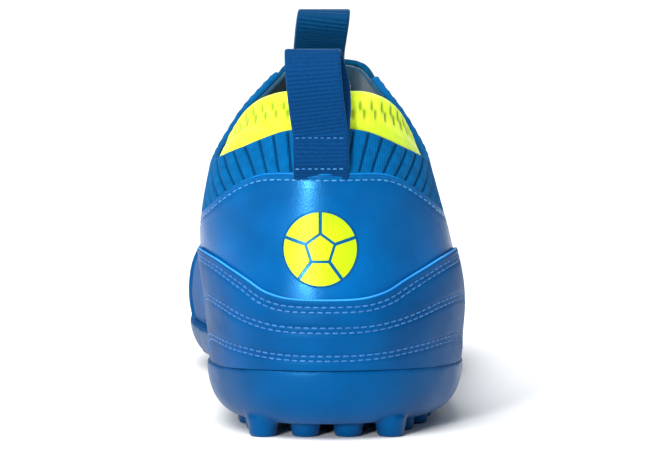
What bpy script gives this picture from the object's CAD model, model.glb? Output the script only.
"""Looks of a right-foot turf soccer shoe: glossy coated panels, ribbed knit collar, padded heel, webbing loops.

The shoe's surfaces all follow one last, given below as a stack of outlines in millimetres. A point on any layer is
named by its level in that stack, its angle round the outline (0 at the heel, pi at the ridge, positive on the outer
side of the foot) and its distance outside the last. Pieces are grids of such points between edge lines.
"""
from math import cos, exp, pi, radians, sin

import bmesh
import bpy
import numpy as np
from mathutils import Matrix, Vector
from mathutils.bvhtree import BVHTree
from mathutils.kdtree import KDTree


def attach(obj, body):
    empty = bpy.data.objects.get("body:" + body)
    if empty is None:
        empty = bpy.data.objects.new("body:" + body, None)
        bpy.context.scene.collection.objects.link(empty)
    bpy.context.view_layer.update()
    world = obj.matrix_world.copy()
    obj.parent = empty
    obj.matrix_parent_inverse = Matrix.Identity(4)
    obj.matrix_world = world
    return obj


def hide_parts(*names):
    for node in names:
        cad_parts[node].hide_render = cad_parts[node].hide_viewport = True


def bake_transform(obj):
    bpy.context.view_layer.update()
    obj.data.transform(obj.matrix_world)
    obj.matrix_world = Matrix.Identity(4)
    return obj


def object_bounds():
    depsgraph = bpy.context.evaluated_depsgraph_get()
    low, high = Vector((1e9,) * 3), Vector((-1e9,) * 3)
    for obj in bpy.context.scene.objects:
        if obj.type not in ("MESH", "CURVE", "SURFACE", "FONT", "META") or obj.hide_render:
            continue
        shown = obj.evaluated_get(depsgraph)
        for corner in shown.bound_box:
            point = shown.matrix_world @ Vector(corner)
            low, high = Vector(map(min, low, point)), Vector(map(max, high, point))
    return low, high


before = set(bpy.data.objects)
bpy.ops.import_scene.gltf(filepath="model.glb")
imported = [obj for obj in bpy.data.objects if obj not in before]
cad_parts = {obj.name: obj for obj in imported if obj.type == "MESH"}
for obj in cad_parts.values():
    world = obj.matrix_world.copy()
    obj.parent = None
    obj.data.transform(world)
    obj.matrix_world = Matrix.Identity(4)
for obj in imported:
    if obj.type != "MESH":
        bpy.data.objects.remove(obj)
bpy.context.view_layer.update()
MM = 0.001
ROOT = "shoe"

# ---- the last
STATIONS = np.array((0.0, 0.13, 0.30, 0.50, 0.70, 0.87, 1.0))
LAST = (
    ((-131.0, 6.0), (-7.0, 129.5, 7.0), (26, 24), (32.0, 32.5, 35.5, 39.5, 26.5), (27.5, 26.5, 24.0, 40.5, 32.0)),
    ((-136.0, 20.0), (-8.0, 137.7, 24.0), (33, 27), (38.2, 38.1, 40.5, 43.9, 30.5), (32.1, 32.3, 31.5, 45.1, 36.5)),
    ((-138.0, 29.0), (-8.0, 137.5, 34.0), (33, 26), (38.9, 39.2, 40.5, 43.0, 30.0), (32.8, 34.0, 33.5, 45.0, 36.0)),
    ((-139.0, 37.0), (-8.0, 128.0, 43.0), (33, 22), (39.3, 39.4, 39.5, 40.0, 27.5), (33.2, 35.0, 34.5, 42.0, 32.5)),
    ((-138.5, 44.0), (-7.0, 109.5, 49.5), (32, 20), (38.7, 38.8, 38.0, 36.0, 24.0), (33.7, 35.6, 35.0, 38.0, 28.0)),
    ((-137.5, 51.0), (-5.0, 85.0, 54.0), (31, 18), (37.3, 37.9, 36.0, 32.0, 21.0), (33.8, 36.5, 34.6, 33.5, 24.0)),
    ((-136.5, 58.0), (-3.0, 60.0, 60.0), (30, 16), (35.3, 37.0, 34.5, 29.0, 19.0), (33.8, 37.4, 34.6, 29.8, 21.0)),
    ((-135.5, 66.0), (-2.0, 34.0, 69.0), (28, 15), (33.0, 35.5, 33.5, 27.0, 17.5), (33.1, 37.4, 34.6, 28.2, 18.5)),
    ((-134.5, 76.0), (-1.0, 8.0, 82.0), (26, 15), (30.0, 33.0, 32.0, 26.0, 16.5), (31.2, 36.0, 34.0, 26.8, 17.0)),
    ((-133.5, 87.0), (0.0, -16.0, 98.0), (24, 15), (26.3, 30.0, 28.8, 23.2, 15.0), (28.3, 33.0, 31.4, 25.0, 16.0)),
    ((-133.0, 100.0), (0.0, -36.0, 116.0), (22, 14), (22.0, 25.0, 24.6, 19.8, 14.0), (23.5, 27.3, 27.3, 22.3, 14.5)),
    ((-133.5, 116.0), (0.0, -50.0, 134.0), (20, 13), (19.8, 22.8, 21.9, 17.8, 12.7), (21.0, 25.0, 25.0, 20.0, 13.0)),
)
TOP_LEVEL = len(LAST) - 1

# Edges in side view, as (y, z) points
TOPLINE = (
    (-160, 100.5), (-138, 100.5), (-133.5, 99.6), (-129, 96.8), (-124, 93.6), (-116, 90.2), (-104, 87.6),
    (-93, 86.8), (-82, 88.8), (-70, 94.6), (-61, 101.5), (-52, 107.6), (-45, 112.6), (-38, 116.0), (-20, 117.5),
    (160, 117.5),
)
PAD_TOP = (
    (-160, 112.5), (-130, 112.0), (-124, 110.2), (-118, 107.0), (-111, 102.6), (-103, 96.5), (-96, 90.0),
    (-90, 83.0), (-85, 72.0), (-83, 58.0), (-81, 40.0),
)
COLLAR_SEAM = (
    (-160, 86.2), (-138, 86.2), (-131, 85.8), (-127, 83.6), (-121, 79.0), (-113, 73.8), (-101, 69.6), (-90, 68.0),
    (-68, 63.6), (-45, 64.4), (-15, 65.6), (12, 63.0), (30, 60.5), (42, 61.5), (51, 68), (60, 84), (160, 160),
)
FOXING_TOP = (
    (-160, 46.2), (-142, 46.2), (-137, 48.2), (-132, 51.6), (-126, 54.6), (-118, 57.4), (-108, 58.8),
    (-99, 58.6), (-92, 55.4), (-83, 47.0), (-72, 34.0), (-62, 20.0), (-57, 10.0), (-40, -30.0),
)
CUP_RIM = (
    (-160, 23.0), (-141, 22.8), (-120, 21.4), (-95, 20.4), (-50, 18.6), (0, 16.2), (45, 16.2), (80, 19.0),
    (110, 24.0), (130, 30.0), (145, 34.0), (160, 36.0),
)
FOXING_ROWS = (
    ((-160, 36.2), (-142, 36.2), (-134, 38.4), (-122, 41.8), (-107, 43.0), (-94, 39.5), (-82, 30), (-72, 19)),
    ((-160, 26.9), (-142, 26.9), (-130, 28.6), (-112, 30.0), (-99, 28.2), (-90, 22), (-84, 14)),
)
HEEL_SEAM = ((-68, -10), (-73, 10), (-78, 28), (-84, 45), (-89, 62), (-93, 76), (-98, 100), (-110, 140))
VAMP_SEAM = ((2, -10), (4, 10), (10, 30), (20, 46), (34, 62), (40, 80), (60, 140))
TOE_SEAM = ((95, -10), (93, 10), (88, 30), (80, 48), (72, 62), (66, 80), (40, 140))
PAD_FRONT_Y = -84.0


def hermite(xs, ys, x):
    """Smooth curve through (xs, ys) read at x. ys may hold one column of values for each x."""
    xs, ys = np.asarray(xs, float), np.asarray(ys, float)
    last = len(xs) - 1
    low = np.maximum(np.arange(last + 1) - 1, 0)
    high = np.minimum(np.arange(last + 1) + 1, last)
    slope = (ys[high] - ys[low]) / (xs[high] - xs[low]).reshape(-1, *[1] * (ys.ndim - 1))

    def pick(table, i):
        return table[i] if table.ndim == 1 else table[i, np.arange(table.shape[1])]

    i = np.clip(np.searchsorted(xs, x, "right") - 1, 0, last - 1)
    step = xs[i + 1] - xs[i]
    t = (x - xs[i]) / step
    shape = t.shape + (1,) * (pick(ys, i).ndim - t.ndim)
    t, step = t.reshape(shape), step.reshape(shape)
    rise = step * (pick(slope, i) * t * (1 - t) ** 2 - pick(slope, i + 1) * t * t * (1 - t))
    return pick(ys, i) * (1 + 2 * t) * (1 - t) ** 2 + pick(ys, i + 1) * t * t * (3 - 2 * t) + rise


def end_point(ends, index, side, grow):
    """Heel (side -1) or ridge (side 1) end of a level, moved outwards by grow: (y, z) arrays."""
    low, high = ends[max(index - 1, 0)], ends[min(index + 1, TOP_LEVEL)]
    dy, dz = high[0] - low[0], high[1] - low[1]
    size = (dy * dy + dz * dz) ** 0.5
    return ends[index][0] + grow * side * dz / size, ends[index][1] - grow * side * dy / size


def level_points(index, angle, grow):
    """Points of one level's outline at these angles and distances."""
    heel_y, heel_z = end_point([row[0] for row in LAST], index, -1, grow)
    toe_y, toe_z = end_point([row[1][1:] for row in LAST], index, 1, grow)
    _, (toe_x, _, _), (heel_r, toe_r), outer, inner = LAST[index]
    length = np.hypot(toe_y - heel_y, toe_z - heel_z)
    side = np.where(np.sin(angle) >= -1e-9, 1.0, -1.0)
    u = (1 - np.cos(angle)) / 2
    shares = [np.sqrt((heel_r + grow) * length / 2)]
    for s, wide_out, wide_in in zip(STATIONS[1:-1], outer, inner):
        width = np.where(side > 0, wide_out, wide_in)
        shares.append((width + grow - side * toe_x * s * s) / (2 * (s * (1 - s)) ** 0.5))
    shares.append(np.sqrt((toe_r + grow) * length / 2))
    share = hermite(STATIONS, np.stack(shares), u)
    x = toe_x * u * u + share * np.sin(angle)
    return np.stack((x, heel_y + u * (toe_y - heel_y), heel_z + u * (toe_z - heel_z)), axis=-1)


def place(level, angle, grow):
    """Points (mm) for arrays of level, angle and distance outside the last."""
    level, angle, grow = np.broadcast_arrays(*(np.asarray(v, float) for v in (level, angle, grow)))
    shape = level.shape
    level, angle, grow = level.ravel(), angle.ravel(), grow.ravel()
    stack = np.stack([level_points(index, angle, grow) for index in range(TOP_LEVEL + 1)])
    i = np.clip(np.floor(level).astype(int), 0, TOP_LEVEL - 1)
    t = (level - i)[:, None]
    at = np.arange(len(level))
    before, after = stack[np.maximum(i - 1, 0), at], stack[np.minimum(i + 2, TOP_LEVEL), at]
    low, high = stack[i, at], stack[i + 1, at]
    slope_low = np.where((i > 0)[:, None], (high - before) / 2, high - low)
    slope_high = np.where((i < TOP_LEVEL - 1)[:, None], (after - low) / 2, high - low)
    points = low * (1 + 2 * t) * (1 - t) ** 2 + high * t * t * (3 - 2 * t)
    points += slope_low * t * (1 - t) ** 2 - slope_high * t * t * (1 - t)
    return points.reshape(*shape, 3)


# ---- edges as tables
ANGLES = np.linspace(-pi, 2 * pi, 541)
LEVELS = np.linspace(0, TOP_LEVEL, 111)


def edge_height(edge, y):
    return hermite([p[0] for p in edge], [p[1] for p in edge], y)


def seam_y(seam, z):
    return hermite([p[1] for p in seam], [p[0] for p in seam], z)


def solve(measure, low, high):
    """Where measure, which grows from negative to positive, crosses zero between the arrays low and high."""
    for _ in range(22):
        middle = (low + high) / 2
        below = measure(middle) < 0
        low, high = np.where(below, middle, low), np.where(below, high, middle)
    return (low + high) / 2


def level_table(measure, grow):
    """Level at which a measure of the layer's points turns positive, as a function of angle."""
    low, high = np.zeros_like(ANGLES), np.full_like(ANGLES, TOP_LEVEL)
    table = solve(lambda level: measure(place(level, ANGLES, grow)), low, high)
    return lambda angle: np.interp(angle, ANGLES, table)


def level_of(edge, grow=3.5, lift=0.0):
    """Level at which the layer reaches an edge line, as a function of angle."""
    return level_table(lambda p: p[:, 2] - edge_height(edge, p[:, 1]) - lift, grow)


def level_behind(seam, grow=3.5, shift=0.0):
    """Level at which the layer, followed up its ridge, passes behind a seam, as a function of angle."""
    return level_table(lambda p: seam_y(seam, p[:, 2]) + shift - p[:, 1], grow)


def angle_of(seam, grow=3.5, shift=0.0):
    """Angle, on the outer side, at which the layer meets a seam, as a function of level."""

    def past(angle):
        p = place(LEVELS, angle, grow)
        return p[:, 1] - seam_y(seam, p[:, 2]) - shift

    outer = solve(past, np.zeros_like(LEVELS), np.full_like(LEVELS, pi))
    inner = solve(lambda a: past(-a), np.zeros_like(LEVELS), np.full_like(LEVELS, pi))
    return (lambda level: np.interp(level, LEVELS, outer)), (lambda level: -np.interp(level, LEVELS, inner))


def angle_at_x(x, grow=3.5):
    """Angle near the ridge at which the layer is x off the middle plane, as a function of level."""
    side = 1 if x > 0 else -1

    def within(angle):
        return abs(x) - side * place(LEVELS, side * angle, grow)[:, 0]

    table = solve(within, np.full_like(LEVELS, pi * 0.55), np.full_like(LEVELS, pi))
    return lambda level: side * np.interp(level, LEVELS, table)


# ---- grids and meshes
def eased(t):
    """Smooth step from 0 to 1."""
    return t * t * (3 - 2 * t)


def unit(vectors):
    return vectors / np.linalg.norm(vectors, axis=1)[:, None]


def travelled(line):
    """Distance run along a line at each of its points."""
    return np.concatenate(([0], np.cumsum(np.linalg.norm(np.diff(line, axis=0), axis=1))))


def spread(count, length, fine=0.0):
    """count fractions from 0 to 1, crowded towards both ends over fine millimetres of a length."""
    if fine <= 0:
        return np.linspace(0, 1, count)
    near = np.array((0, 0.08, 0.22, 0.42, 0.7, 1.0)) * fine / length
    return np.concatenate((near, np.linspace(near[-1], 1 - near[-1], count)[1:-1], 1 - near[::-1]))


def patch(bottom, top, left, right, rows, columns):
    """Level and angle grids for the area between two edges (of angle) and two seams (of level)."""
    b, a = np.meshgrid(rows, columns, indexing="ij")
    level = np.full_like(a, 5.0)
    for _ in range(8):
        start, stop = left(level), right(level)
        angle = start + (stop - start) * a
        low, high = bottom(angle), top(angle)
        level = low + (high - low) * b
    return level, angle


def arc(points, axis):
    """Distance along a grid line from its first point."""
    steps = np.linalg.norm(np.diff(points, axis=axis), axis=-1)
    zero = np.zeros_like(np.take(steps, [0], axis=axis))
    return np.concatenate((zero, np.cumsum(steps, axis=axis)), axis=axis)


def rolled(distance, radius):
    """How far a sheet drops towards its edge, which is rounded over to a radius."""
    inside = np.clip(radius - distance, 0, radius)
    return radius - np.sqrt(np.maximum(radius * radius - inside * inside, 0))


def rim_drop(points, edges, radius):
    """Drop of a sheet whose named edges (bottom, top, left, right) are rolled over."""
    up, along = arc(points, 0), arc(points, 1)
    away = {"bottom": up, "top": up[-1:] - up, "left": along, "right": along[:, -1:] - along}
    return sum(rolled(away[name], radius) for name in edges)


def mesh_object(name, vertices, faces, cloth=None):
    """A smooth-shaded mesh object from millimetre points; cloth holds each point's place on the flat cloth."""
    mesh = bpy.data.meshes.new(name)
    mesh.from_pydata((np.asarray(vertices) * MM).tolist(), [], faces)
    mesh.validate()
    if cloth is not None:
        attribute = mesh.attributes.new("cloth", "FLOAT_VECTOR", "POINT")
        attribute.data.foreach_set("vector", np.ascontiguousarray(cloth, np.float32).ravel())
    for polygon in mesh.polygons:
        polygon.use_smooth = True
    obj = bpy.data.objects.new(name, mesh)
    bpy.context.scene.collection.objects.link(obj)
    return obj


def grid_faces(rows, columns, first=0, flip=False, wrap=False):
    """Quads of a grid of points numbered row by row."""
    faces = []
    for r in range(rows if wrap else rows - 1):
        for c in range(columns - 1):
            a, b = first + r * columns + c, first + r * columns + c + 1
            d, e = first + (r + 1) % rows * columns + c, first + (r + 1) % rows * columns + c + 1
            faces.append((a, d, e, b) if flip else (a, b, e, d))
    return faces


def sheet(name, level, angle, outer, inner, texture=None):
    """A closed sheet between an outer and an inner distance; texture adds to the outer one."""
    face = place(level, angle, outer)
    up, along = arc(face, 0), arc(face, 1)
    middle = along.shape[1] // 2
    cloth = np.stack((along - along[:, middle:middle + 1], up, np.zeros_like(up)), axis=-1) * MM
    if texture is not None:
        relief = texture(cloth)
        face = place(level, angle, outer + relief)
        cloth[..., 2] = relief * MM
    back = place(level, angle, np.broadcast_to(inner, level.shape))
    return shell(name, face, back, cloth)


def shell(name, face, back, cloth):
    """A closed solid between two grids of points with the same outline."""
    rows, columns = face.shape[:2]
    count = rows * columns
    faces = grid_faces(rows, columns) + grid_faces(rows, columns, count, flip=True)
    rim = list(range(columns))
    rim += [r * columns + columns - 1 for r in range(1, rows)]
    rim += [(rows - 1) * columns + c for c in range(columns - 2, -1, -1)]
    rim += [r * columns for r in range(rows - 2, 0, -1)]
    for a, b in zip(rim, rim[1:] + rim[:1]):
        faces.append((b, a, count + a, count + b))
    both = np.concatenate((face.reshape(-1, 3), back.reshape(-1, 3)))
    return mesh_object(name, both, faces, np.concatenate((cloth.reshape(-1, 3), cloth.reshape(-1, 3))))


def tree_of(*pieces):
    """Search tree over the surfaces of one or more pieces."""
    vertices, faces = [], []
    for piece in pieces:
        first = len(vertices)
        vertices += [v.co.copy() for v in piece.data.vertices]
        faces += [tuple(first + v for v in p.vertices) for p in piece.data.polygons]
    return BVHTree.FromPolygons(vertices, faces)


def press(obj, lines, depth, width):
    """Sinks the mesh along lines (arrays of mm points), as pulled thread does."""
    points = np.concatenate(lines)
    tree = KDTree(len(points))
    for i, p in enumerate(points):
        tree.insert(p, i)
    tree.balance()
    normals = [v.normal.copy() for v in obj.data.vertices]
    for vertex, normal in zip(obj.data.vertices, normals):
        _, _, distance = tree.find(vertex.co / MM)
        if distance < 3 * width:
            sunk = depth * MM * exp(-((distance / width) ** 2))
            vertex.co -= normal * sunk
            obj.data.attributes["cloth"].data[vertex.index].vector.z -= sunk


def resample(line, pitch):
    """Points every pitch millimetres along a line."""
    steps = travelled(line)
    at = np.arange(0, steps[-1], pitch)
    return np.stack([np.interp(at, steps, line[:, k]) for k in range(3)], axis=-1)


def edge_line(edge, angles, grow, lift=0.0):
    """Line on the layer that follows an edge."""
    return place(level_of(edge, grow, lift)(angles), angles, grow)


def tube_faces(rings, around):
    """Faces of closed rings of points numbered ring by ring, with a face over each end."""
    faces = []
    for first in range(0, (rings - 1) * around, around):
        for c in range(around):
            a, b = first + c, first + (c + 1) % around
            faces.append((a, b, b + around, a + around))
    faces.append(tuple(range(around - 1, -1, -1)))
    faces.append(tuple(range((rings - 1) * around, rings * around)))
    return faces


def capsule(length, radius):
    """Vertices and faces of one stitch, lying along X."""
    around, along = 6, (-1.0, -0.82, -0.45, 0.0, 0.45, 0.82, 1.0)
    vertices = []
    for t in along:
        r = radius * (1 - t ** 4) ** 0.5 if abs(t) < 1 else radius * 0.12
        for k in range(around):
            vertices.append((t * length / 2, r * cos(2 * pi * k / around), r * 0.8 * sin(2 * pi * k / around)))
    return np.array(vertices), tube_faces(len(along), around)


def stitches(name, lines, tree, pitch=2.9, length=2.1, radius=0.28):
    """Rows of separate stitches that lie on a surface."""
    shape, shape_faces = capsule(length, radius)
    vertices, faces = [], []
    for line in lines:
        spots = resample(line, pitch)
        for k in range(len(spots) - 1):
            middle = Vector((spots[k] + spots[k + 1]) / 2)
            tangent = Vector(spots[k + 1] - spots[k]).normalized()
            spot, normal, _, _ = tree.find_nearest(middle * MM)
            side = normal.cross(tangent).normalized()
            normal = tangent.cross(side)
            turn = np.array((tangent, side, normal))
            first = len(vertices)
            vertices.extend(shape @ turn + np.array(spot) / MM + np.array(normal) * radius * 0.35)
            faces.extend([tuple(first + v for v in f) for f in shape_faces])
    return mesh_object(name, vertices, faces)


# ---- materials
def linear(*srgb):
    """Scene-linear colour of an 8-bit sRGB one."""
    values = [v / 255 for v in srgb]
    return (*[v / 12.92 if v <= 0.04045 else ((v + 0.055) / 1.055) ** 2.4 for v in values], 1.0)


class Material:
    """A Principled material with short helpers for its node tree."""

    def __init__(self, name, roughness=0.5, sheen=0.0, specular=0.5, tint=(1, 1, 1)):
        self.made = bpy.data.materials.new(name)
        self.made.use_nodes = True
        self.tree = self.made.node_tree
        self.shader = self.tree.nodes["Principled BSDF"]
        self.shader.inputs["Roughness"].default_value = roughness
        self.shader.inputs["Sheen Weight"].default_value = sheen
        self.shader.inputs["Sheen Roughness"].default_value = 0.4
        self.shader.inputs["Sheen Tint"].default_value = (*tint, 1)
        self.shader.inputs["Specular IOR Level"].default_value = specular
        self.shader.inputs["Specular Tint"].default_value = (*tint, 1)

    def node(self, kind, **values):
        """A node; its values are set on inputs by name, or on the node itself."""
        made = self.tree.nodes.new(kind)
        for key, value in values.items():
            if key in made.inputs:
                made.inputs[key].default_value = value
            else:
                setattr(made, key, value)
        return made

    def link(self, output, target):
        self.tree.links.new(output, target)

    def where(self, cloth=False):
        """Coordinates on the flat cloth, or in the object."""
        if cloth:
            return self.node("ShaderNodeAttribute", attribute_name="cloth").outputs["Vector"]
        return self.node("ShaderNodeTexCoord").outputs["Object"]

    def texture(self, kind, output, place_in, **values):
        made = self.node(kind, **values)
        self.link(place_in, made.inputs["Vector"])
        return made.outputs[output]

    def noise(self, place_in, scale, detail=3.0):
        return self.texture("ShaderNodeTexNoise", "Fac", place_in, Scale=scale, Detail=detail)

    def cells(self, place_in, scale):
        return self.texture("ShaderNodeTexVoronoi", "Distance", place_in, Scale=scale)

    def waves(self, place_in, scale, direction, distortion=0.0):
        return self.texture("ShaderNodeTexWave", "Fac", place_in, Scale=scale, Distortion=distortion,
                            bands_direction=direction)

    def mixed_colour(self, factor, dark, light, low=0.35, high=0.65):
        """Base colour that runs from dark to light as factor goes from low to high."""
        ramp = self.node("ShaderNodeValToRGB")
        ramp.color_ramp.elements[0].position, ramp.color_ramp.elements[0].color = low, dark
        ramp.color_ramp.elements[1].position, ramp.color_ramp.elements[1].color = high, light
        self.link(factor, ramp.inputs["Fac"])
        self.link(ramp.outputs["Color"], self.shader.inputs["Base Color"])

    def stain(self, place_in, colour, start, end):
        """Turns the base colour to another one where the cloth is sunk from start to end metres."""
        parts = self.node("ShaderNodeSeparateXYZ")
        self.link(place_in, parts.inputs["Vector"])
        depth = self.node("ShaderNodeMapRange", **{"From Min": start, "From Max": end})
        self.link(parts.outputs["Z"], depth.inputs["Value"])
        mix = self.node("ShaderNodeMix", data_type="RGBA")
        self.link(depth.outputs["Result"], mix.inputs["Factor"])
        self.link(self.shader.inputs["Base Color"].links[0].from_socket, mix.inputs[6])
        mix.inputs[7].default_value = colour
        self.link(mix.outputs[2], self.shader.inputs["Base Color"])

    def uneven_gloss(self, factor, low, high):
        ranged = self.node("ShaderNodeMapRange", **{"From Min": 0.3, "From Max": 0.7, "To Min": low, "To Max": high})
        self.link(factor, ranged.inputs["Value"])
        self.link(ranged.outputs["Result"], self.shader.inputs["Roughness"])

    def bumps(self, *layers):
        """Bump layers (height output, strength, distance in metres), one over the other."""
        normal = None
        for height, strength, distance in layers:
            bump = self.node("ShaderNodeBump", Strength=strength, Distance=distance)
            self.link(height, bump.inputs["Height"])
            if normal is not None:
                self.link(normal, bump.inputs["Normal"])
            normal = bump.outputs["Normal"]
        self.link(normal, self.shader.inputs["Normal"])


BLUE_SHEEN = (0.1, 0.5, 1.0)  # reflections on the dyed coatings and yarns pick up the blue


def coated_sheet(name, dark, light, gloss=(0.26, 0.38), specular=0.7):
    """Glossy coated synthetic leather with a fine pebble grain."""
    m = Material(name, specular=specular, tint=BLUE_SHEEN)
    at = m.where()
    m.mixed_colour(m.noise(at, 34, 4), dark, light)
    m.uneven_gloss(m.noise(at, 120, 3), *gloss)
    m.bumps((m.noise(at, 60, 2), 0.12, 0.0006), (m.cells(at, 1500), 0.35, 0.00006),
            (m.noise(at, 2600, 2), 0.2, 0.00005))
    return m.made


def knit(name, groove, dark, light):
    """Fine rib knit: columns of loops with small bumps, darker down in the grooves."""
    m = Material(name, roughness=0.8, sheen=0.15, specular=0.25, tint=BLUE_SHEEN)
    at = m.where(cloth=True)
    m.mixed_colour(m.noise(at, 260, 5), dark, light, 0.3, 0.7)
    m.stain(at, groove, -0.0001, -0.0005)
    m.bumps((m.waves(at, 330, "X", 0.6), 0.55, 0.00016), (m.waves(at, 420, "Y", 1.4), 0.5, 0.00014),
            (m.noise(at, 1800, 3), 0.25, 0.0001))
    return m.made


def webbing_cloth(name, dark, light):
    """Grosgrain: cross ribs are in the mesh, fine yarns in the bump."""
    m = Material(name, roughness=0.62, sheen=0.25, specular=0.35, tint=BLUE_SHEEN)
    at = m.where(cloth=True)
    m.mixed_colour(m.noise(at, 900, 3), dark, light, 0.3, 0.7)
    m.bumps((m.waves(at, 560, "X", 0.5), 0.4, 0.00009), (m.noise(at, 2200, 3), 0.25, 0.00008))
    return m.made


def brushed_lining(name, dark, light, glow=0.0, sunk=None):
    """Soft tricot lining with a tiny mesh of loops."""
    m = Material(name, roughness=0.82, sheen=0.4, specular=0.25)
    at = m.where(cloth=True)
    m.mixed_colour(m.noise(at, 150, 5), dark, light, 0.3, 0.7)
    m.bumps((m.noise(at, 190, 3), 0.25, 0.0005), (m.cells(at, 950), 0.4, 0.00014))
    if sunk:
        m.stain(at, sunk, -0.00025, -0.0007)
    if glow:
        m.shader.inputs["Emission Color"].default_value = light
        m.shader.inputs["Emission Strength"].default_value = glow
    return m.made


def moulded_rubber(name, dark, light):
    m = Material(name, specular=0.4, tint=BLUE_SHEEN)
    at = m.where()
    m.mixed_colour(m.noise(at, 26, 4), dark, light)
    m.uneven_gloss(m.noise(at, 90, 3), 0.36, 0.5)
    m.bumps((m.noise(at, 45, 2), 0.12, 0.0008), (m.noise(at, 900, 3), 0.2, 0.0001))
    return m.made


def plain_stuff(name, dark, light, scale, roughness=0.8):
    """Foams, boards and other hidden stock with a mottled, slightly rough face."""
    m = Material(name, roughness=roughness, specular=0.3)
    at = m.where()
    m.mixed_colour(m.noise(at, scale, 5), dark, light)
    m.bumps((m.cells(at, scale * 6), 0.4, 0.0002))
    return m.made


def soft_print(name, dark, light):
    m = Material(name, roughness=0.42, tint=(1, 1, 0.4))
    at = m.where()
    m.mixed_colour(m.noise(at, 90, 3), dark, light)
    m.bumps((m.noise(at, 700, 3), 0.25, 0.0001))
    m.shader.inputs["Emission Color"].default_value = light
    m.shader.inputs["Emission Strength"].default_value = 0.06
    return m.made


def twisted_thread(name, dark, light):
    m = Material(name, roughness=0.5, sheen=0.2)
    at = m.where()
    m.mixed_colour(m.noise(at, 900, 3), dark, light)
    m.bumps((m.waves(at, 900, "DIAGONAL"), 0.4, 0.0001))
    return m.made


PANEL = coated_sheet("panel_sheet", linear(0, 68, 122), linear(0, 85, 148))
SIDES = coated_sheet("side_sheet", linear(0, 64, 120), linear(0, 79, 142), gloss=(0.5, 0.6), specular=0.3)
CUT_EDGE = coated_sheet("foxing_edge", linear(28, 120, 196), linear(54, 148, 222))
PANEL_EDGE = coated_sheet("panel_edge", linear(6, 104, 178), linear(24, 124, 198))
EMBLEM_GROUND = coated_sheet("emblem_ground_sheet", linear(0, 66, 112), linear(0, 76, 126))
FOXING = coated_sheet("foxing_sheet", linear(0, 58, 108), linear(0, 71, 126), gloss=(0.46, 0.56), specular=0.33)
RUBBER = moulded_rubber("sole_rubber", linear(0, 56, 102), linear(0, 67, 120))
KNIT = knit("collar_knit", linear(0, 40, 76), linear(0, 72, 122), linear(0, 88, 144))
TONGUE = knit("tongue_knit", linear(0, 32, 58), linear(0, 54, 86), linear(0, 68, 104))
LINING = brushed_lining("shoe_lining", linear(0, 52, 78), linear(0, 68, 96))
YELLOW = brushed_lining("heel_pad_cloth", linear(186, 214, 22), linear(212, 236, 56), 0.07, sunk=linear(128, 150, 12))
WEB = webbing_cloth("heel_webbing", linear(0, 38, 82), linear(0, 48, 96))
DARK_WEB = webbing_cloth("tongue_webbing", linear(0, 42, 78), linear(0, 50, 90))
EMBLEM = soft_print("emblem_print", linear(156, 184, 2), linear(172, 200, 4))
LABEL = brushed_lining("label_weave", linear(96, 92, 112), linear(128, 124, 146))
THREAD = twisted_thread("blue_thread", linear(0, 84, 146), linear(10, 108, 178))
PALE_THREAD = twisted_thread("pale_thread", linear(10, 104, 172), linear(60, 146, 204))
WHITE_THREAD = twisted_thread("white_thread", linear(150, 190, 222), linear(214, 230, 244))
FOAM = plain_stuff("dyed_foam", linear(0, 56, 102), linear(0, 67, 120), 160)
BOARD = plain_stuff("fibre_board", linear(150, 138, 112), linear(186, 174, 146), 240)
STIFF = plain_stuff("stiffener", linear(176, 178, 176), linear(206, 206, 200), 60, 0.5)

# ---- upper
FINE = 0.8  # grid step on the sheets, in millimetres
TOP_AND_SIDES = ("top", "left", "right")  # edges that are rolled over
WALL_OUT, WALL_IN = 3.5, 2.35
OVER_OUT, OVER_IN = 4.7, 3.55
KNIT_OUT, KNIT_IN = 3.4, 1.2
under_rim = level_of(CUP_RIM, 4.2, -2.5)
on_rim = level_of(CUP_RIM, OVER_OUT, 0.15)
collar_edge = level_of(COLLAR_SEAM, WALL_OUT)
heel_outer, heel_inner = angle_of(HEEL_SEAM, WALL_OUT)
vamp_outer, vamp_inner = angle_of(VAMP_SEAM, WALL_OUT)


def always(value):
    return lambda other: np.full_like(other, value)


def full_turn(inner):
    """The same seam on the inner side, counted on past the ridge."""
    return lambda level: 2 * pi + inner(level)


def coated_piece(name, edges, rolls, size, outer=WALL_OUT, inner=WALL_IN, radius=0.9, thin=1.0):
    """A coated sheet between edges (bottom, top, left, right), with some of them rolled over."""
    wide, tall = size
    rows = spread(int(tall / (FINE * thin)), tall, 1.3 * radius)
    columns = spread(int(wide / (FINE * thin)), wide, 1.3 * radius)
    level, angle = patch(*edges, rows, columns)
    drop = rim_drop(place(level, angle, outer), rolls, radius)
    return sheet(name, level, angle, outer - np.minimum(drop, outer - inner - 0.1), inner)


panel = coated_piece("heel_panel_skin", (under_rim, collar_edge, heel_inner, heel_outer),
                     TOP_AND_SIDES, (170, 60))
outer_quarter = coated_piece("lateral_quarter_skin", (under_rim, collar_edge, heel_outer, vamp_outer),
                             TOP_AND_SIDES, (110, 45))
inner_quarter = coated_piece("medial_quarter_skin", (under_rim, collar_edge, vamp_inner, heel_inner),
                             TOP_AND_SIDES, (110, 45))
vamp = coated_piece("vamp_skin", (under_rim, collar_edge, vamp_outer, full_turn(vamp_inner)),
                    TOP_AND_SIDES, (300, 90), thin=1.3)


def meeting_angle(low, high, start, stop):
    """First angle from start to stop at which the edge high rises above the edge low."""
    angles = np.linspace(start, stop, 400)
    return angles[np.argmax(high(angles) > low(angles) + 0.02)]


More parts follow.
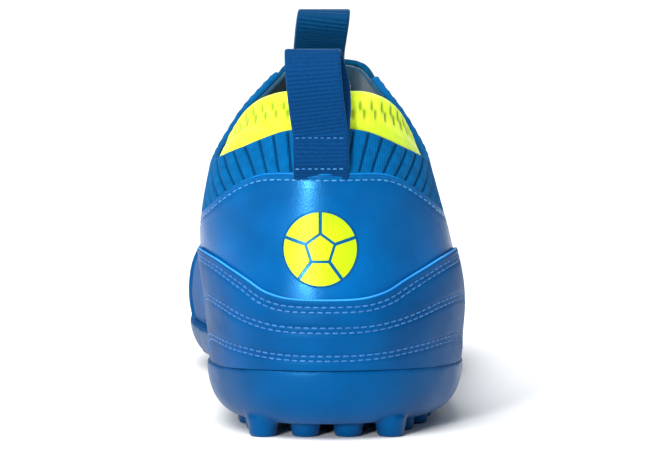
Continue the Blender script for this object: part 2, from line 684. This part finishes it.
foxing_top = level_of(FOXING_TOP, OVER_OUT)
foxing_out = meeting_angle(on_rim, foxing_top, 2.4, 0)
foxing_in = meeting_angle(on_rim, foxing_top, -2.4, 0)
foxing = coated_piece("heel_foxing_skin", (on_rim, foxing_top, always(foxing_in), always(foxing_out)),
                      ("top",), (200, 38), OVER_OUT, OVER_IN, radius=1.0, thin=0.8)
toe_edge = level_behind(TOE_SEAM, OVER_OUT)
toe_out = meeting_angle(on_rim, toe_edge, 0.5, pi)
toe_in = meeting_angle(on_rim, toe_edge, 2 * pi - 0.5, pi)
toe_cap = coated_piece("toe_cap_skin", (on_rim, toe_edge, always(toe_out), always(toe_in)),
                       ("top",), (190, 60), OVER_OUT, OVER_IN, radius=1.0, thin=1.2)

# ---- knit
RIB_PITCH, RIB_DEPTH, RIB_HALF = 4.3, 0.55, 0.5


def ribs(cloth):
    """Narrow grooves that fan out upwards, closer together on the sides of the ankle."""
    s, h = cloth[..., 0] / MM, cloth[..., 1] / MM
    phase = s - np.clip(s, -28, 28) * (1 - 1 / (1 + 0.018 * h))
    near = np.abs((phase / RIB_PITCH + 0.5) % 1 - 0.5) * RIB_PITCH
    side = np.clip((np.abs(s) - 40) / 8, 0, 1)
    fine = np.abs((phase / (RIB_PITCH / 2)) % 1 - 0.5) * RIB_PITCH / 2
    groove = (1 - 0.6 * side) * RIB_DEPTH * np.exp(-((near / RIB_HALF) ** 2))
    groove += side * 0.22 * np.exp(-((fine / RIB_HALF) ** 2))
    return -groove * np.clip((h[-1:] - h) / 1.5, 0.1, 1)


def knit_piece(name, edges, rolls, size, outer, texture, radius=1.05):
    wide, tall = size
    rows = spread(int(tall / (1.6 * FINE)), tall, 1.3 * radius)
    columns = spread(int(wide / (0.5 * FINE)), wide, 1.3 * radius)
    level, angle = patch(*edges, rows, columns)
    drop = rim_drop(place(level, angle, outer), rolls, radius)
    return sheet(name, level, angle, outer - np.minimum(drop, outer - KNIT_IN - 0.1), KNIT_IN, texture)


TONGUE_SIDES = (-17.0, 18.0)
knit_bottom = level_of(COLLAR_SEAM, KNIT_OUT, -2.4)
topline = level_of(TOPLINE, KNIT_OUT)
knit_collar = knit_piece("knit_collar_rib",
                         (knit_bottom, topline, angle_at_x(TONGUE_SIDES[0] - 0.15), angle_at_x(TONGUE_SIDES[1] + 0.15)),
                         TOP_AND_SIDES, (320, 45), KNIT_OUT, ribs)

CORNER = 7.0  # radius of the tongue's top corners
MM_PER_LEVEL = 25.0


def tongue_top(angle):
    """The tongue's upper edge, with its corners rounded off and a slight crown."""
    level = topline(angle)
    x = place(level, angle, KNIT_OUT)[..., 0]
    middle = (TONGUE_SIDES[0] + TONGUE_SIDES[1]) / 2
    room = np.clip((TONGUE_SIDES[1] - TONGUE_SIDES[0]) / 2 - np.abs(x - middle), 0, CORNER)
    return level + (1.2 - rolled(room, CORNER)) / MM_PER_LEVEL


tongue_side = angle_at_x(TONGUE_SIDES[0])
tongue = knit_piece("tongue_knit_flap", (knit_bottom, tongue_top, angle_at_x(TONGUE_SIDES[1]), full_turn(tongue_side)),
                    TOP_AND_SIDES, (38, 100), KNIT_OUT, lambda cloth: 0.6 * ribs(cloth))

# ---- lining and heel pad
WEDGE_START, WEDGE_END, SPRING_START, HALF_LENGTH, TOE_SPRING = -70.0, 30.0, 50.0, 144.0, 9.0


def floor_z(y, heel, ball):
    """Height of a sole surface that drops from heel to ball and springs up to the toe."""
    drop = np.clip((y - WEDGE_START) / (WEDGE_END - WEDGE_START), 0, 1)
    rise = np.maximum(y - SPRING_START, 0) / (HALF_LENGTH - SPRING_START)
    return heel + (ball - heel) * eased(drop) + TOE_SPRING * rise * rise


BOARD_TOP, LINER_TOP = (18.7, 13.2), (23.2, 16.2)


def floor_line(heel, ball):
    """Side view of a sole surface, as (y, z) points."""
    return [(y, float(floor_z(y, heel, ball))) for y in range(-160, 161, 10)]


board_edge = level_of(floor_line(*BOARD_TOP), 0.5)
PAD_LINE = ((PAD_FRONT_Y, -10), (PAD_FRONT_Y, 140))
pad_outer, pad_inner = angle_of(PAD_LINE, 0.5)


PAD_IN, PAD_OUT = -4.5, 1.1
PAD_SWELL_Z = (56.0, 68.0)  # where the padding starts and is full; the lifted sockliner passes below it
PAD_TAPER = 14.0  # length over which the pad thins towards its front ends


def pad_piece():
    """The padded heel lining: a soft roll round the back of the collar that thins into a flat lining below."""
    side_out, side_in = float(pad_outer(np.array(8.0))), float(pad_inner(np.array(8.0)))
    angle = np.linspace(side_in, side_out, 640)
    radius = (PAD_OUT - PAD_IN) / 2
    top = level_of(PAD_TOP, 0.0, -radius)(angle)
    bottom = board_edge(angle)
    middle = place(top, angle, 0.0)
    per_level = np.linalg.norm(place(top + 0.05, angle, 0.0) - place(top - 0.05, angle, 0.0), axis=-1) / 0.1
    thick = 0.25 + 0.75 * eased(np.clip((PAD_FRONT_Y - middle[:, 1]) / PAD_TAPER, 0, 1))
    flat, swell = (level_of(((-160, z), (160, z)), 0.0)(angle) for z in PAD_SWELL_Z)
    centre = (PAD_OUT + PAD_IN) / 2
    levels, grows = [], []
    climb = np.concatenate((np.linspace(0, 0.72, 30)[:-1], np.linspace(0.72, 1, 36)))
    for t in climb:
        levels.append(bottom + (top - bottom) * t)
        grows.append(np.full_like(angle, PAD_OUT) + 0.35 * np.sin(pi * np.clip((t - 0.6) / 0.4, 0, 1)))
    for t in np.linspace(0, pi, 15)[1:-1]:
        levels.append(top + radius * sin(t) / per_level)
        grows.append(PAD_OUT + (centre - PAD_OUT) * (1 - cos(t)) * thick)
    for t in 1 - climb[::-1]:
        level = top + (bottom - top) * t
        share = eased(np.clip((level - flat) / np.maximum(swell - flat, 0.05), 0, 1))
        levels.append(level)
        grows.append((PAD_OUT + 2 * (centre - PAD_OUT) * thick) * share)
    level, grow = np.stack(levels), np.stack(grows)
    wide = np.broadcast_to(angle, level.shape)
    points = place(level, wide, grow)
    cloth = np.stack((arc(points, 1), arc(points, 0), np.zeros_like(level)), axis=-1) * MM
    rows, columns = level.shape
    faces = grid_faces(rows, columns, wrap=True)
    faces.append([r * columns for r in range(rows)])
    faces.append([r * columns + columns - 1 for r in range(rows - 1, -1, -1)])
    return mesh_object("heel_lining_pad", points.reshape(-1, 3), faces, cloth.reshape(-1, 3))


def pad_line(below, grow):
    """Line on the pad, a distance below its upper edge."""
    angles = np.linspace(-2.2, 2.2, 400)
    line = place(level_of(PAD_TOP, grow, -below)(angles), angles, grow)
    return line[line[:, 1] < PAD_FRONT_Y - 5]


pad = pad_piece()


def puckers(below, grow, pitch):
    """Short upright pulls of thread in a row along the pad."""
    spots = resample(pad_line(below, grow), pitch)
    return [spots + (0, 0, lift) for lift in np.linspace(-1.1, 1.1, 6)]


press(pad, [pad_line(6.5, PAD_OUT), pad_line(7.5, PAD_IN)], 0.2, 2.4)
press(pad, puckers(4.6, PAD_OUT, 4.4) + puckers(7.4, PAD_OUT, 4.4) + puckers(6.0, PAD_IN, 4.4), 0.7, 0.75)
lining_level, lining_angle = patch(board_edge, level_of(TOPLINE, 1.0, -1.3), pad_outer, full_turn(pad_inner),
                                   spread(70, 90, 1.0), spread(220, 420, 1.0))
lining = sheet("forefoot_lining_cloth", lining_level, lining_angle, 1.1, 0.0)

# ---- webbing loops
HEEL_STRIP = (  # (x, y, z) along the strip: up the outside, over the top and back down underneath
    (-1.2, -135.9, 84.4), (-1.2, -136.6, 86.2), (-1.2, -138.1, 88.8), (-1.3, -138.7, 93), (-1.3, -138.7, 97),
    (-1.7, -138.8, 100.6), (-2.4, -140.1, 105.5),
    (-3.2, -142.0, 112.5), (-3.8, -141.9, 119.3), (-4.0, -138.8, 125.1), (-3.6, -135.0, 124.3), (-2.4, -133.4, 119.6),
    (-1.0, -134.5, 114.0), (-0.6, -136.2, 108.0), (-0.8, -137.3, 102.8), (-1.0, -137.3, 98), (-1.1, -137.6, 92),
    (-1.1, -137.8, 87.5),
)
TONGUE_STRIP = (
    (-2.2, -16.2, 104.6), (-2.2, -20.6, 109.2), (-2.2, -25.6, 114.2), (-2.1, -29.6, 118.6), (-1.8, -31.3, 122.6),
    (-1.3, -32.5, 127.6), (-0.7, -36.4, 132.0), (-0.3, -41.2, 133.9), (-0.5, -44.5, 131.9), (-1.0, -44.0, 127.9),
    (-1.5, -40.6, 124.2), (-1.9, -36.2, 121.2), (-2.2, -32.0, 118.4), (-2.2, -27.4, 113.6), (-2.2, -22.4, 108.6),
    (-2.2, -18.4, 104.6),
)
WEB_HALF, WEB_THICK, WEB_RIB = 8.9, 1.15, 1.3


def smooth_path(points, count):
    """Evenly spaced points on a smooth curve through the given ones."""
    points = np.array(points, float)
    at = travelled(points)
    fine = np.linspace(0, at[-1], 1200)
    line = np.stack([hermite(at, points[:, k], fine) for k in range(3)], axis=-1)
    run = travelled(line)
    even = np.linspace(0, run[-1], count)
    return np.stack([np.interp(even, run, line[:, k]) for k in range(3)], axis=-1), run[-1]


def webbing(name, points):
    """A strip of ribbed webbing whose flat side follows a path."""
    count = 420
    line, length = smooth_path(points, count)
    tangent = unit(np.gradient(line, axis=0))
    side = unit(np.array((1.0, 0, 0)) - tangent * tangent[:, :1])
    normal = np.cross(tangent, side)
    run = np.linspace(0, length, count)
    rib = 0.13 * np.cos(2 * pi * run / WEB_RIB)
    half = WEB_THICK / 2
    flat = WEB_HALF - half
    upper = [(t * flat, 1.0) for t in np.linspace(-1, 1, 25)]
    upper += [(flat + half * sin(t), cos(t)) for t in np.linspace(0, pi, 7)[1:-1]]
    section = np.array(upper + [(-x, -z) for x, z in upper])
    thick = half + rib[:, None] * (np.abs(section[None, :, 1]) > 0.99)
    points = line[:, None] + side[:, None] * section[None, :, :1]
    points = points + normal[:, None] * (section[None, :, 1] * thick)[..., None]
    faces = tube_faces(count, len(section))
    cloth = np.stack(np.broadcast_arrays(section[None, :, 0], run[:, None], 0.0), axis=-1) * MM
    made = mesh_object(name, points.reshape(-1, 3), faces, cloth.reshape(-1, 3))
    recalculate(made)
    return made


def recalculate(obj):
    """Turns all faces outwards."""
    work = bmesh.new()
    work.from_mesh(obj.data)
    bmesh.ops.recalc_face_normals(work, faces=work.faces)
    work.to_mesh(obj.data)
    work.free()


heel_loop = webbing("heel_loop_strip", HEEL_STRIP)
tongue_loop = webbing("tongue_loop_strip", TONGUE_STRIP)
bending = (heel_loop, tongue_loop)


# ---- sockliner
def sockliner_piece():
    """The loose footbed: a moulded sheet with a dished top and rounded edges."""
    end = np.linspace(0.04, 0.5, 24)[:-1]
    turn = np.concatenate((end, np.linspace(0.5, pi - 0.5, 130), (pi - end)[::-1]))
    share = np.sin(np.linspace(-pi / 2, pi / 2, 41))[None, :, None]

    def plane(heel, ball, grow):
        level = level_of(floor_line(heel, ball), grow)
        right, left = place(level(turn), turn, grow)[:, None], place(level(-turn), -turn, grow)[:, None]
        points = (left + right) / 2 + share * (right - left) / 2
        points[..., 2] = floor_z(points[..., 1], heel, ball)
        return points

    top = plane(*LINER_TOP, -1.0)
    up, along = arc(top, 0), arc(top, 1)
    drop = rim_drop(top, ("bottom", "top", "left", "right"), 1.6)
    heel = np.clip((-40 - top[..., 1]) / 60, 0, 1)
    top[..., 2] -= np.minimum(drop, 1.4) + (0.4 + 1.0 * heel) * (1 - share[..., 0] ** 2) ** 2
    bottom = plane(BOARD_TOP[0] + 0.15, BOARD_TOP[1] + 0.15, -1.0)
    cloth = np.stack((along, up, np.zeros_like(up)), axis=-1) * MM
    return shell("sockliner_footbed", top, bottom, cloth)


sockliner = sockliner_piece()
recalculate(sockliner)


# ---- stitching
def sew(name, pieces, lines, thread, slot_name, depth=0.3, width=0.8, **size):
    """Presses a channel for each row into the pieces under it and lays the stitches."""
    for piece in pieces:
        press(piece, lines, depth, width)
    made = stitches(name, lines, tree_of(*pieces), **size)
    made.data.materials.append(thread)
    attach(made, ROOT)


def longest(line, keep):
    """Longest stretch of a line whose points pass a test."""
    good = np.array([keep(p) for p in line], int)
    ends = np.flatnonzero(np.diff(np.concatenate(([0], good, [0]))))
    first, last = max(zip(ends[::2], ends[1::2]), key=lambda r: r[1] - r[0])
    return line[first:last]


def up_seam(seam, side, low, high, shift):
    """Line beside a seam on the outer (1) or inner (-1) side, between two levels."""
    levels = np.linspace(low, high, 200)
    outer, inner = angle_of(seam, WALL_OUT, shift)
    return place(levels, outer(levels) if side > 0 else inner(levels), WALL_OUT)


def over_rim(p):
    return p[2] > edge_height(CUP_RIM, p[1]) + 2.0


turns = np.linspace(foxing_in, foxing_out, 700)
fox_rows = [edge_line(FOXING_TOP, turns, OVER_OUT, lift) for lift in (-2.6, -4.2)]
fox_rows += [edge_line(row, turns, OVER_OUT, lift) for row in FOXING_ROWS for lift in (0.8, -0.8)]
sew("foxing_stitches", [foxing], [longest(line, over_rim) for line in fox_rows], THREAD, "foxing_sheet",
    depth=0.34, pitch=2.7, length=2.1, radius=0.3)
full_circle = np.linspace(-pi, pi, 1600)
collar_row = [edge_line(COLLAR_SEAM, full_circle, WALL_OUT, -2.4)]
sew("collar_stitches", [panel, outer_quarter, inner_quarter, vamp], collar_row, PALE_THREAD, "heel_sheet",
    pitch=2.6, length=1.8, radius=0.24)
SIDE_SEAM_ROWS = (  # seam, level where the row ends, distance of the row from the seam
    (HEEL_SEAM, 7.0, -2.0), (HEEL_SEAM, 7.0, 2.0), (VAMP_SEAM, 5.0, -2.0), (VAMP_SEAM, 5.0, -3.7),
)


def on_quarter(p):
    return over_rim(p) and p[2] < edge_height(COLLAR_SEAM, p[1]) - 3.5


side_rows = [up_seam(seam, side, 1.4, top, shift) for side in (1, -1) for seam, top, shift in SIDE_SEAM_ROWS]
sew("side_stitches", [panel, outer_quarter, inner_quarter], [longest(line, on_quarter) for line in side_rows], THREAD,
    "upper_sheet")
toe_turns = np.linspace(toe_out, toe_in, 600)
toe_rows = [place(level_behind(TOE_SEAM, OVER_OUT, shift)(toe_turns), toe_turns, OVER_OUT) for shift in (2.4, 4.1)]
sew("toe_stitches", [toe_cap], [longest(line, over_rim) for line in toe_rows], THREAD, "toe_sheet")


BEHIND_Y = -160.0  # well behind the heel, where rays towards it start


def across_strip(strip, x_low, x_high, z):
    """Level line across a strip of webbing, on its rear side."""
    tree, points = tree_of(strip), []
    for x in np.linspace(x_low, x_high, 60):
        spot, _, _, _ = tree.ray_cast(Vector((x, BEHIND_Y, z)) * MM, Vector((0, 1, 0)))
        if spot is not None:
            points.append(np.array(spot) / MM)
    return np.array(points)


for name, z, thread in (("heel_loop_low_stitches", 87.6, PALE_THREAD), ("heel_loop_high_stitches", 97.6, THREAD)):
    sew(name, [heel_loop], [across_strip(heel_loop, -9.8, 7.4, z)], thread, "heel_webbing", depth=0.15, width=0.5,
        pitch=2.0, length=1.3, radius=0.22)
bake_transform(heel_loop)
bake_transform(tongue_loop)
TACK_LENGTH, TACK_TILT = 2.6, 0.55


def tacks():
    """Short white bars sewn where collar, heel panel and quarter meet, on both sides."""
    lines = []
    for side in (1, -1):
        seam = up_seam(HEEL_SEAM, side, 5.5, 7.6, 0.0)
        start = seam[np.argmin(np.abs(seam[:, 2] - edge_height(COLLAR_SEAM, seam[:, 1]) + 1.2))]
        for k in range(3):
            base = start + np.array((0, -1.6 + 1.1 * k, 0.9 * k - 0.6))
            lines.append(np.array([base, base + np.array((0, TACK_LENGTH, TACK_LENGTH * TACK_TILT))]))
    return lines


sew("collar_bar_tacks", [panel, outer_quarter, inner_quarter], tacks(), WHITE_THREAD, "heel_sheet",
    depth=0.1, width=0.5, pitch=2.4, length=2.4, radius=0.34)

# ---- cut edges and the ground under the emblem
def rod(name, line, radius, around=8):
    """A thin round bead along a line, closed at both ends."""
    tangent = unit(np.gradient(line, axis=0))
    side = unit(np.cross(tangent, (0.0, 0, 1)))
    up = np.cross(side, tangent)
    turn = np.linspace(0, 2 * pi, around, endpoint=False)
    points = line[:, None] + radius * (side[:, None] * np.cos(turn)[:, None] + up[:, None] * np.sin(turn)[:, None])
    made = mesh_object(name, points.reshape(-1, 3), tube_faces(len(line), around))
    recalculate(made)
    return made


fox_edge = rod("foxing_cut_edge", longest(edge_line(FOXING_TOP, turns, OVER_OUT - 0.42, -0.38), over_rim), 0.36)
panel_edge = rod("collar_cut_edge", edge_line(COLLAR_SEAM, full_circle, WALL_OUT - 0.4, -0.42), 0.4)
EMBLEM_X, EMBLEM_Z, EMBLEM_R = -1.5, 62.0, 11.7
EMBLEM_SINK = 0.4  # how deep the disc's rim runs into the panel


def emblem_ground():
    """A thin dark disc welded to the heel panel under the yellow print, standing out round its edge."""
    tree = tree_of(panel)
    radii = np.concatenate((np.linspace(0, EMBLEM_R, 14)[1:], EMBLEM_R + np.array((0.35, 0.6, 0.68))))
    lifts = np.concatenate((np.full(13, 0.28), (0.28, 0.18, 0.0)))
    vertices, around = [], 96
    for r, lift in zip(radii, lifts):
        for k in range(around):
            x, z = EMBLEM_X + r * cos(2 * pi * k / around), EMBLEM_Z + r * sin(2 * pi * k / around)
            spot, normal, _, _ = tree.ray_cast(Vector((x, BEHIND_Y, z)) * MM, Vector((0, 1, 0)))
            vertices.append(np.array(spot + normal * (lift - 0.05) * MM) / MM)
    deep = [p + np.array((0, EMBLEM_SINK, 0)) for p in vertices[-around:]]
    made = mesh_object("emblem_ground", vertices + deep, tube_faces(len(radii) + 1, around))
    recalculate(made)
    return made


ground = emblem_ground()
for piece, material, slot_name in ((fox_edge, CUT_EDGE, "foxing_sheet"), (panel_edge, PANEL_EDGE, "heel_sheet"),
                                   (ground, EMBLEM_GROUND, "emblem")):
    piece.data.materials.append(material)
    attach(piece, ROOT)

# ---- finishes, bodies and kept nodes
for piece, material, slot_name, nodes in (
    (panel, PANEL, "heel_sheet", ("heel_panel",)),
    (outer_quarter, SIDES, "upper_sheet", ("lateral_quarter",)),
    (inner_quarter, SIDES, "upper_sheet", ("medial_quarter",)),
    (vamp, SIDES, "upper_sheet", ("vamp",)),
    (foxing, FOXING, "foxing_sheet", ("heel_foxing",)),
    (toe_cap, FOXING, "toe_sheet", ("toe_cap",)),
    (knit_collar, KNIT, "collar_knit", ("knit_collar",)),
    (tongue, TONGUE, "tongue_knit", ("tongue",)),
    (lining, LINING, "lining", ("forefoot_lining",)),
    (pad, YELLOW, "heel_pad", ("heel_lining", "collar_foam")),
    (sockliner, LINING, "sockliner_fabric", ("sockliner",)),
    (heel_loop, WEB, "heel_webbing", ("heel_pull_loop", "heel_loop_base")),
    (tongue_loop, DARK_WEB, "tongue_webbing", ("tongue_pull_loop", "tongue_loop_base")),
):
    piece.data.materials.append(material)
    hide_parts(*nodes)
    if piece not in bending:
        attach(piece, "footbed" if piece is sockliner else ROOT)


def soften(node, voxel, rounds, thicker):
    """Rounds the edges of a kept CAD node, as a mould does; thicker (mm) keeps thin walls whole in the remesh."""
    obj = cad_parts[node]
    weld = obj.modifiers.new("joined", "WELD")
    weld.merge_threshold = 0.002 * MM
    thicken = obj.modifiers.new("thickened", "DISPLACE")
    thicken.strength, thicken.mid_level = thicker * MM, 0
    remesh = obj.modifiers.new("moulded", "REMESH")
    remesh.mode, remesh.voxel_size = "VOXEL", voxel * MM
    remesh.use_smooth_shade = True
    smooth = obj.modifiers.new("rounded", "SMOOTH")
    smooth.factor, smooth.iterations = 0.5, rounds


soften("outsole", 0.7, 5, 0.4)
for node, material in (("midsole", FOAM), ("insole_board", BOARD), ("heel_counter", STIFF), ("toe_puff", STIFF),
                       ("upper_backing", FOAM), ("outsole", RUBBER), ("heel_emblem", EMBLEM), ("size_label", LABEL)):
    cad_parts[node].data.materials.clear()
    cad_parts[node].data.materials.append(material)

# ---- camera, light and floor
scene = bpy.context.scene
camera = bpy.data.objects.new("camera", bpy.data.cameras.new("camera"))
scene.collection.objects.link(camera)
scene.camera = camera
camera.location = (0.0, -1.443, 0.194)
LOOK_DOWN = radians(5.48)
camera.rotation_euler = (pi / 2 - LOOK_DOWN, 0, 0)
camera.data.lens, camera.data.sensor_width = 226.8, 36


def lamp(name, kind, location, target, power, **values):
    data = bpy.data.lights.new(name, kind)
    data.energy = power
    for key, value in values.items():
        setattr(data, key, value)
    made = bpy.data.objects.new(name, data)
    scene.collection.objects.link(made)
    made.location = location
    made.rotation_euler = (Vector(target) - Vector(location)).to_track_quat("-Z", "Y").to_euler()
    return made


AIM = (0, -0.08, 0.06)
lamp("broad_light", "SUN", (-0.8, -1.3, 2.6), AIM, 3.7, angle=radians(50))
lamp("key_softbox", "AREA", (-0.45, -1.25, 0.34), (0, -0.135, 0.078), 14, shape="RECTANGLE", size=0.2, size_y=0.18)
lamp("back_strip", "AREA", (0.2, 0.9, 1.1), (0, 0, 0.1), 6, shape="RECTANGLE", size=1.4, size_y=0.4)
world = bpy.data.worlds.new("studio")
scene.world = world
world.use_nodes = True
background = world.node_tree.nodes["Background"].inputs
background["Color"].default_value, background["Strength"].default_value = (0.8, 0.9, 1.0, 1), 0.3
scene.view_settings.view_transform = "Standard"

floor_mesh = bpy.data.meshes.new("floor")
FLOOR_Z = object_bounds()[0][2]  # the thickened studs reach just below the ground plane
FLOOR_HALF = 8
corners = ((-1, -1), (1, -1), (1, 1), (-1, 1))
floor_mesh.from_pydata([(x * FLOOR_HALF, y * FLOOR_HALF, FLOOR_Z) for x, y in corners], [], [(0, 1, 2, 3)])
floor = bpy.data.objects.new("floor", floor_mesh)
scene.collection.objects.link(floor)
floor_look = Material("pale_floor", roughness=0.8, specular=0.0)
floor_look.shader.inputs["Base Color"].default_value = linear(238, 238, 237)
floor_mesh.materials.append(floor_look.made)
